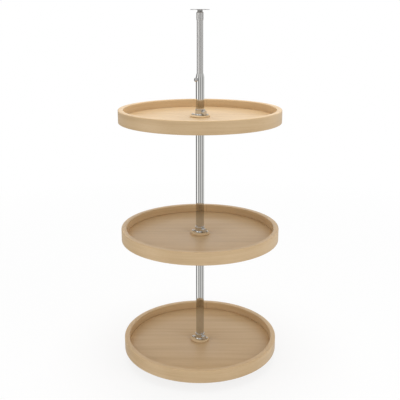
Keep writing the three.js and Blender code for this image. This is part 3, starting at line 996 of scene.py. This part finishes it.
for name, base in zip(tray_names, tray_bases):
    disc = turned(
        f"{name}_disc_turned",
        [
            (hub_hole, disc_foot, 0.2),
            (disc_radius, disc_foot, 0.4),
            (disc_radius, disc_top, 2.6),
            (hub_hole, disc_top, 0.3),
        ],
        128,
        lift=base,
    )
    worked(disc, screw_drills(base - 5, base + 30))
    dressed(disc, tan_wood)
    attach(disc, f"{name}_tray")
    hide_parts(f"{name}_hub_disc")


# ---- Hub collars -------------------------------------------------------------------------------------
# A chromed steel collar with a flared foot, a rolled lip and a round boss with the clamp screw's thread.
# Its tube goes down through disc and board and is turned outwards under the backing plate, which keeps
# them together. It slides on the post until the clamp screw is tight.

collar_foot, collar_top = disc_top + gap, 45.6
collar_bore, blank_bore = post_radius + gap, 15.6  # the blank is bored out to the post
turned_out_radius, turned_out_foot, turned_out_top = 19.375, 0.2, 1.7
flare_radius, lip_radius = 19.575, 18.375
boss_radius, boss_root, boss_face = 7.5, 16.4, 22.775
clamp_bearing, clamp_level = radians(-50), 34.2
clamp_screw_radius = 5
clamp_thread_radius = clamp_screw_radius + gap

for name, base in zip(tray_names, tray_bases):
    collar = turned(
        f"{name}_collar_flared",
        [
            (blank_bore, turned_out_foot),
            (turned_out_radius, turned_out_foot, 0.7),
            (turned_out_radius, turned_out_top, 0.6),
            (collar_radius, turned_out_top, 0.1),
            (collar_radius, collar_foot),
            (flare_radius, collar_foot, 0.2),
            (flare_radius, collar_foot + 1, 0.4),
            (collar_radius, collar_foot + 5, 3.5),
            (collar_radius, collar_top - 4.4, 0.8),
            (lip_radius, collar_top - 3.8, 0.8),
            (lip_radius, collar_top, 1.4),
            (blank_bore, collar_top),
        ],
        112,
        steps=6,
    )
    boss = turned(
        "tool",
        [
            (0, boss_root),
            (boss_radius, boss_root),
            (boss_radius, boss_face, 0.9),
            (5.8, boss_face, 0.4),
            (0, boss_face),
        ],
        72,
    )
    worked(collar, [pointing(boss, clamp_bearing, clamp_level)], "UNION")
    post_bore = turned("tool", [(0, -5), (collar_bore, -5), (collar_bore, 50), (0, 50)], 112)
    thread_hole = turned(
        "tool", [(0, 0), (clamp_thread_radius, 0), (clamp_thread_radius, 30), (0, 30)], 48
    )
    worked(collar, [post_bore, pointing(thread_hole, clamp_bearing, clamp_level)])
    moved(collar, Matrix.Translation((0, 0, base)))
    dressed(collar, chrome)
    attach(collar, f"{name}_tray")
    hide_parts(f"{name}_hub_collar")


# ---- Clamp screws ------------------------------------------------------------------------------------
# A bright-plated hexagon screw of 10 mm in each hub's boss. Its tip presses on the post and holds the
# tray at its height.

for name, base in zip(tray_names, tray_bases):
    clamp_screw = hexagon_screw(
        f"{name}_clamp_hexagon", clamp_screw_radius * 2, pitch=1.5, shank=6.9, across=17, head=6.4
    )
    moved(clamp_screw, Matrix.Translation((0, 0, post_radius + gap)))
    pointing(clamp_screw, clamp_bearing, base + clamp_level)
    dressed(clamp_screw, bright_plate)
    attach(clamp_screw, f"{name}_clamp")
    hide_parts(f"{name}_clamp_screw")


# ---- Disc screws -------------------------------------------------------------------------------------
# Two chromed pan-head screws of 6 mm with a cross recess hold each disc on its board. Each goes down
# through disc, board and backing plate into a nut.

pan_radius, pan_height, pan_screw_length = 6, 4.6, 28.4


def cross_recess(top, depth, reach, width):
    """The tapered cross that a driver's tip leaves in a screw's head."""
    points, faces = [], []
    for level, shrink in ((top + 0.5, 1.1), (top - depth, 0.35)):
        for k in range(4):
            quarter = Matrix.Rotation(k * pi / 2, 2)
            for x, y in ((width, -width), (reach * shrink, -width * 0.8), (reach * shrink, width * 0.8)):
                corner = quarter @ Vector((x, y))
                points.append((corner.x, corner.y, level))
    for k in range(12):
        faces.append((k, (k + 1) % 12, 12 + (k + 1) % 12, 12 + k))
    faces += [tuple(range(11, -1, -1)), tuple(range(12, 24))]
    return new_piece("tool", points, faces)


for name, base in zip(tray_names, tray_bases):
    for side, bearing, twist in zip(("left", "right"), disc_screw_bearings, (0.5, 1.1)):
        disc_screw = turned(
            f"{name}_pan_screw_{side}",
            [
                (0, pan_height),
                (0, -pan_screw_length),
                (2.2, -pan_screw_length),
                *threaded(disc_screw_radius, depth=0.55, pitch=1.0, foot=-28, top=-17),
                (disc_screw_radius, -16.6),
                (disc_screw_radius, 0),
                (pan_radius, 0, 0.3),
                (pan_radius, pan_height, 3.2),
            ],
            48,
        )
        worked(disc_screw, [cross_recess(pan_height, depth=2.4, reach=2.8, width=0.5)])
        moved(disc_screw, at_disc_screw(bearing, base + disc_top + gap) @ Matrix.Rotation(twist, 4, "Z"))
        dressed(disc_screw, chrome)
        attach(disc_screw, f"{name}_tray")
        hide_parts(f"{name}_disc_screw_{side}")


# ---- Backing plates ----------------------------------------------------------------------------------
# A zinc-plated steel ring under each board, which spreads the pull of the disc's screws. The collar's
# turned-out end holds it from below.

backing_radius, backing_foot, backing_top = 39, 2, board_foot - gap

for name, base in zip(tray_names, tray_bases):
    backing = turned(
        f"{name}_backing_ring",
        [
            (hub_hole, backing_foot, 0.3),
            (backing_radius, backing_foot, 0.6),
            (backing_radius, backing_top, 0.6),
            (hub_hole, backing_top, 0.3),
        ],
        128,
        lift=base,
    )
    worked(backing, screw_drills(base - 10, base + 30))
    dressed(backing, zinc)
    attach(backing, f"{name}_tray")
    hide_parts(f"{name}_backing_plate")


# ---- Nuts --------------------------------------------------------------------------------------------
# Zinc-plated hexagon nuts of 10 mm across the flats on the disc's screws, under the backing plate,
# chamfered on both faces.

nut_across, nut_foot, nut_top = 10, -3.3, backing_foot - gap
nut_bore = disc_screw_radius + gap

for name, base in zip(tray_names, tray_bases):
    for side, bearing in zip(("left", "right"), disc_screw_bearings):
        nut = hexagon_block(f"{name}_hexagon_nut_{side}", nut_across, nut_foot, nut_top)
        crowns = turned(
            "tool",
            [
                (0, nut_foot),
                (4.6, nut_foot, 0.3),
                (6.2, nut_foot + 0.9),
                (6.2, nut_top - 0.9),
                (4.6, nut_top, 0.3),
                (0, nut_top),
            ],
            72,
        )
        worked(nut, [crowns], "INTERSECT")
        bore = turned(
            "tool",
            [
                (0, nut_foot - 1.7),
                (nut_bore + 0.6, nut_foot - 1.7),
                (nut_bore + 0.6, nut_foot),
                (nut_bore, nut_foot + 0.6),
                (nut_bore, nut_top - 0.6),
                (nut_bore + 0.6, nut_top),
                (nut_bore + 0.6, nut_top + 2.3),
                (0, nut_top + 2.3),
            ],
            40,
        )
        worked(nut, [bore])
        moved(nut, at_disc_screw(bearing, base))
        dressed(nut, zinc)
        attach(nut, f"{name}_tray")
        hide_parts(f"{name}_nut_{side}")
